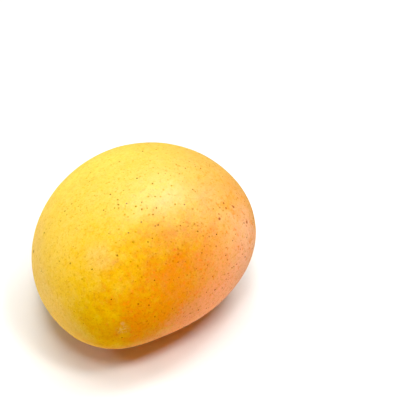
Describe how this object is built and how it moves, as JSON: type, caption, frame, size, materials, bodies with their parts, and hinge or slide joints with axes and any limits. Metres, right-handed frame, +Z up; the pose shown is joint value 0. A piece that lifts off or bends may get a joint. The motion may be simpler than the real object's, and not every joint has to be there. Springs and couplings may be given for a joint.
{
  "type": "mango",
  "caption": "Whole ripe mango lying on its cheek: a plump, slightly flattened egg shape with a soft beak, a sunken stem end and yellow skin that blushes orange and pink.",
  "frame": {"origin": "on the surface the fruit lies on, under the middle of its box", "axes": "+X from the tip towards the stem end, -Y towards the belly side with the beak, +Z up through the upper cheek"},
  "size_m": [0.1084, 0.0934, 0.0825],
  "materials": {
    "mango_skin": "waxy satin"
  },
  "bodies": {
    "root": {"mango": "mango_skin"}
  },
  "joints": []
}
